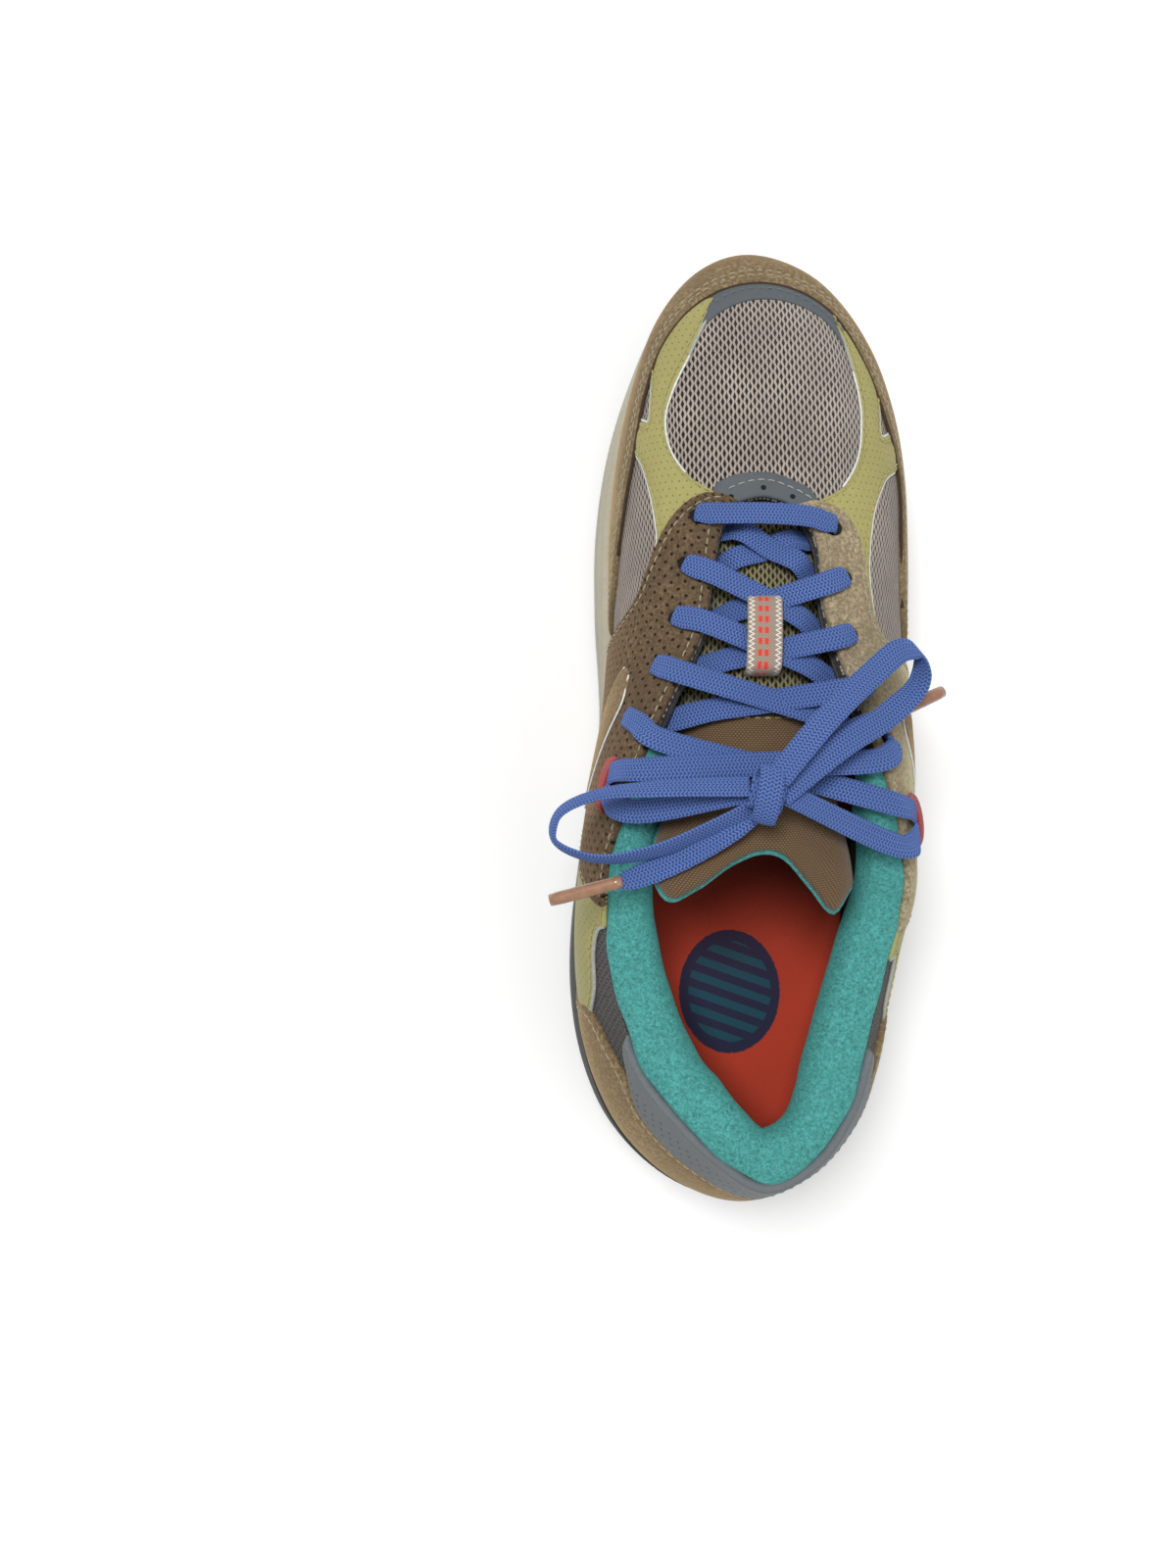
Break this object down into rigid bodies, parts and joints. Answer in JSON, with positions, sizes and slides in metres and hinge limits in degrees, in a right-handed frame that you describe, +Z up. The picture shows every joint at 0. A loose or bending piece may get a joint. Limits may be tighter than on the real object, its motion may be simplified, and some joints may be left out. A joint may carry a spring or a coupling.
{
  "type": "running shoe",
  "caption": "Low laced running shoe with a suede and mesh upper, padded collar, tied flat laces with a bow, a removable footbed and a thick flared foam sole. Right foot.",
  "frame": {"origin": "on the ground plane, in the middle of the sole's length and width", "axes": "+Y to the toe, +X to the outer side of the foot, +Z up"},
  "size_m": [0.1222, 0.3115, 0.1228],
  "materials": {
    "outsole_rubber": "moulded, matt",
    "shank_plastic": "moulded, matt",
    "midsole_stone": "moulded foam, matt",
    "midsole_black": "moulded foam, matt",
    "midsole_green": "moulded foam, matt",
    "board": "stitched fibre board",
    "foam": "open-cell foam",
    "insole_fabric": "knitted cover",
    "vamp_fabric": "spacer mesh",
    "dark_mesh": "open mesh",
    "brown_suede": "suede nap",
    "perforated_suede": "perforated suede nap",
    "olive_leather": "perforated nubuck",
    "grey_leather": "perforated nubuck",
    "white_film": "bonded film",
    "stiffener": "thermoplastic sheet",
    "teal_fleece": "brushed fleece",
    "tongue_fabric": "woven",
    "label_fabric": "woven label",
    "lace_fabric": "flat woven lace",
    "aglet_film": "rolled copper-brown film",
    "red_webbing": "woven webbing"
  },
  "bodies": {
    "shoe": {"outsole_forefoot": "outsole_rubber", "outsole_heel": "outsole_rubber", "midfoot_shank": "shank_plastic", "midsole_forefoot": "midsole_stone", "midsole_heel_rim": "midsole_black", "midsole_heel_core": "midsole_green", "strobel_board": "board", "vamp_mesh": "vamp_fabric", "quarter_mesh_lateral": "dark_mesh", "quarter_mesh_medial": "dark_mesh", "toe_puff": "stiffener", "heel_counter": "stiffener", "vamp_lining": "foam", "toe_rand": "brown_suede", "saddle_medial": "perforated_suede", "saddle_lateral": "brown_suede", "wing_lateral": "olive_leather", "wing_medial": "olive_leather", "toe_strip": "grey_leather", "throat_tab": "grey_leather", "quarter_lateral": "olive_leather", "quarter_medial": "olive_leather", "heel_wrap": "brown_suede", "heel_collar": "grey_leather", "side_stripe_lateral": "white_film", "side_stripe_medial": "white_film", "collar_lining": "teal_fleece", "collar_foam": "foam", "tongue_label": "label_fabric", "webbing_loop_lateral": "red_webbing", "webbing_loop_medial": "red_webbing", "shoelace": "lace_fabric", "lace_end_lateral": "lace_fabric", "lace_end_medial": "lace_fabric", "aglet_lateral": "aglet_film", "aglet_medial": "aglet_film"},
    "tongue": {"tongue_shell": "tongue_fabric", "tongue_foam": "foam", "tongue_lining": "teal_fleece"},
    "footbed": {"sockliner": "foam", "sockliner_cover": "insole_fabric"}
  },
  "joints": [
    {"name": "tongue_hinge", "type": "hinge", "parent": "shoe", "child": "tongue", "pos_m": [0, 0.076, 0.066], "axis": [1, 0, 0], "range_deg": [0, 4], "stiffness_Nm_per_rad": 0.6, "springref_deg": -3.44},
    {"name": "footbed_lift", "type": "hinge", "parent": "shoe", "child": "footbed", "pos_m": [0, 0.138, 0.03], "axis": [-1, 0, 0], "range_deg": [0, 1.6]}
  ]
}
